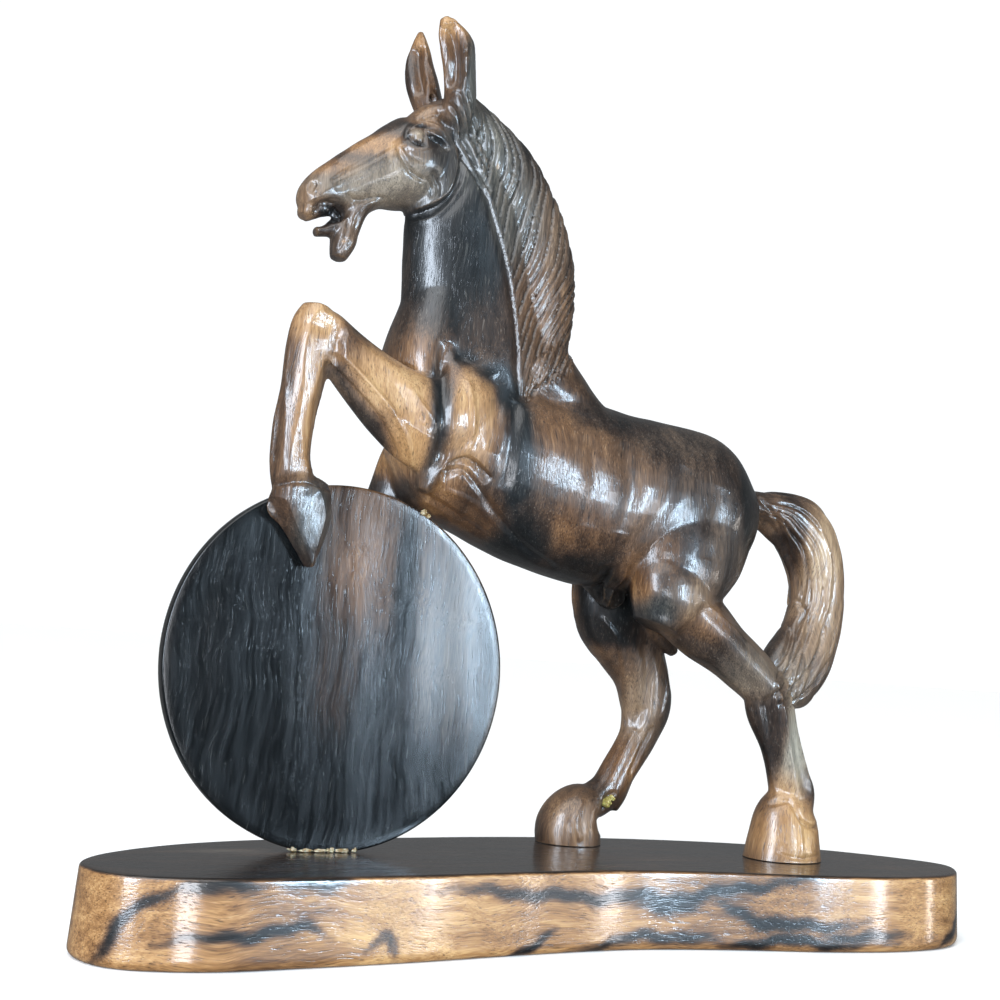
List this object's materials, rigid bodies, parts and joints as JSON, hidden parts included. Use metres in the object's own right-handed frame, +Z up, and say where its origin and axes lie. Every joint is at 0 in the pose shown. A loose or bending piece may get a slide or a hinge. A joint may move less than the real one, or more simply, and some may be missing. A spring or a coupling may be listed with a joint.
{
  "type": "horse figurine",
  "caption": "Carved wooden horse rearing with a forehoof on an upright blank disc, fixed on a wavy-edged oval plinth.",
  "frame": {"origin": "middle of the plinth's flat underside", "axes": "+Z up, X along the plinth with the horse facing -X, -Y the side that the picture shows"},
  "size_m": [0.323, 0.089, 0.3069],
  "materials": {
    "plinth_wood": "polished orange-brown hardwood with dark streaks",
    "disc_wood": "polished near-black hardwood, upright grain",
    "horse_wood": "polished dark striped hardwood"
  },
  "bodies": {
    "root": {"plinth": "plinth_wood", "disc": "disc_wood", "horse": "horse_wood"}
  },
  "joints": []
}
